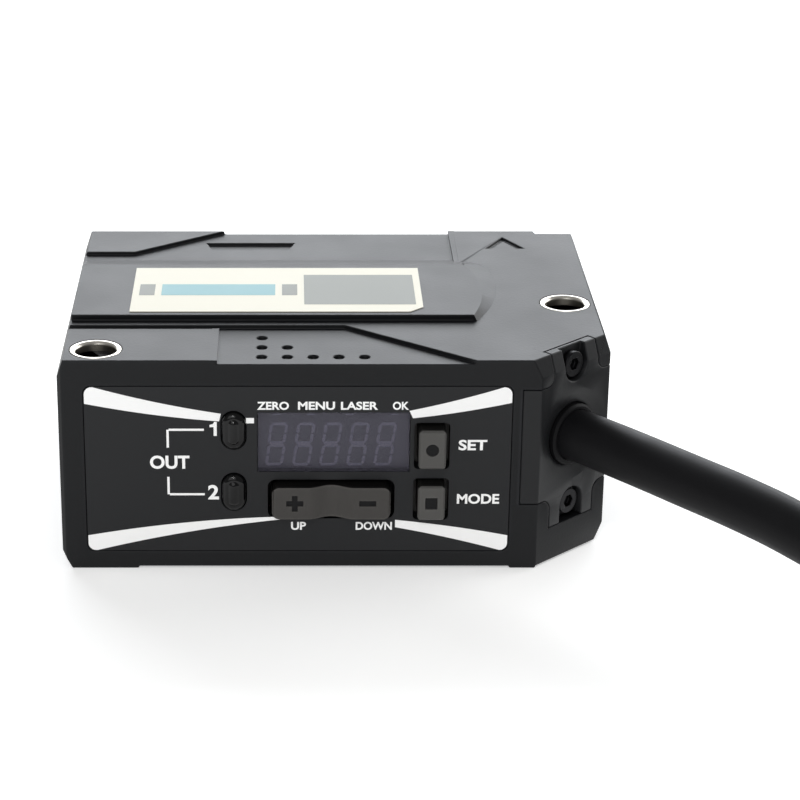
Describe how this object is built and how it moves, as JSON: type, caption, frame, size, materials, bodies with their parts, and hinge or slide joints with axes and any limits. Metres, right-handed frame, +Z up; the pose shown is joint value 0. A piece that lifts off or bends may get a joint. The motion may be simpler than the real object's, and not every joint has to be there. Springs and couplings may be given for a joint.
{
  "type": "laser displacement sensor",
  "caption": "Block-shaped laser displacement sensor with a digit display and key panel, glass sensing windows at the back, mounting bushes, and a corner cable with a screw connector.",
  "frame": {"origin": "on the standing plane, under the middle of the sensor's box without its cable", "axes": "+X to the right for someone who looks at the key panel, +Y from the key panel to the sensing windows, +Z up along the mounting bores"},
  "size_m": [0.1569, 0.1059, 0.0262],
  "materials": {
    "case_plastic": "fine moulded texture",
    "block_plastic": "fine moulded texture",
    "panel_film": "satin printed film",
    "smoked_acrylic": "smoked clear",
    "lens_acrylic": "polished dark",
    "key_plastic": "satin moulded",
    "inner_plastic": "moulded",
    "circuit_board": "solder mask",
    "chip_epoxy": "moulded",
    "digit_module": "cast resin",
    "lamp_resin": "cast resin",
    "switch_steel": "stamped",
    "cast_aluminium": "die cast",
    "barrel_brass": "turned",
    "diode_can": "gold plated",
    "optic_glass": "polished",
    "window_glass": "polished, filter coated",
    "bush_steel": "turned",
    "seal_rubber": "moulded",
    "clip_steel": "stamped",
    "screw_black": "black oxide",
    "screw_steel": "zinc plated",
    "label_film": "printed film",
    "cable_sheath": "extruded, satin",
    "tie_nylon": "moulded",
    "grip_plastic": "moulded",
    "contact_gold": "gold plated",
    "ring_nickel": "nickel plated"
  },
  "bodies": {
    "housing": {"main_case": "case_plastic", "base_cover": "case_plastic", "cable_block": "block_plastic", "panel_sheet": "panel_film", "display_window": "smoked_acrylic", "indicator_lens_upper": "lens_acrylic", "indicator_lens_lower": "lens_acrylic", "rocker_yoke": "inner_plastic", "board_link": "inner_plastic", "display_board": "circuit_board", "main_board": "circuit_board", "sensor_board": "circuit_board", "board_chips": "chip_epoxy", "image_sensor": "chip_epoxy", "digit_display": "digit_module", "indicator_leds": "lamp_resin", "key_switches": "switch_steel", "optical_base": "cast_aluminium", "laser_barrel": "barrel_brass", "laser_diode": "diode_can", "collimator_lens": "optic_glass", "receiver_lens": "optic_glass", "emitter_window": "window_glass", "receiver_window": "window_glass", "front_bush": "bush_steel", "rear_bush": "bush_steel", "block_gasket": "seal_rubber", "cable_bush": "seal_rubber", "cable_clip": "clip_steel", "block_screws": "screw_black", "cover_screws": "screw_steel", "label": "label_film", "cable_lead": "cable_sheath", "cable_coil": "cable_sheath", "cable_tail": "cable_sheath", "coil_tie": "tie_nylon", "connector_grip": "grip_plastic", "connector_insert": "grip_plastic", "connector_pins": "contact_gold"},
    "rocker": {"rocker_key": "key_plastic"},
    "upper_button": {"upper_key": "key_plastic"},
    "lower_button": {"lower_key": "key_plastic"},
    "coupling_ring": {"connector_ring": "ring_nickel"}
  },
  "joints": [
    {"name": "rocker_tilt", "type": "hinge", "parent": "housing", "child": "rocker", "pos_m": [-0.00064, -0.01905, 0.00863], "axis": [0, 0, 1], "range_deg": [-3, 3], "stiffness_Nm_per_rad": 0.15},
    {"name": "upper_key_press", "type": "slide", "parent": "housing", "child": "upper_button", "axis": [0, 1, 0], "range_m": [0, 0.0003], "stiffness_N_per_m": 3000},
    {"name": "lower_key_press", "type": "slide", "parent": "housing", "child": "lower_button", "axis": [0, 1, 0], "range_m": [0, 0.0003], "stiffness_N_per_m": 3000},
    {"name": "coupling_ring_spin", "type": "hinge", "parent": "housing", "child": "coupling_ring", "pos_m": [0.10011, -0.00854, 0.0073], "axis": [-0.6854, 0.7282, 0], "continuous": true}
  ]
}
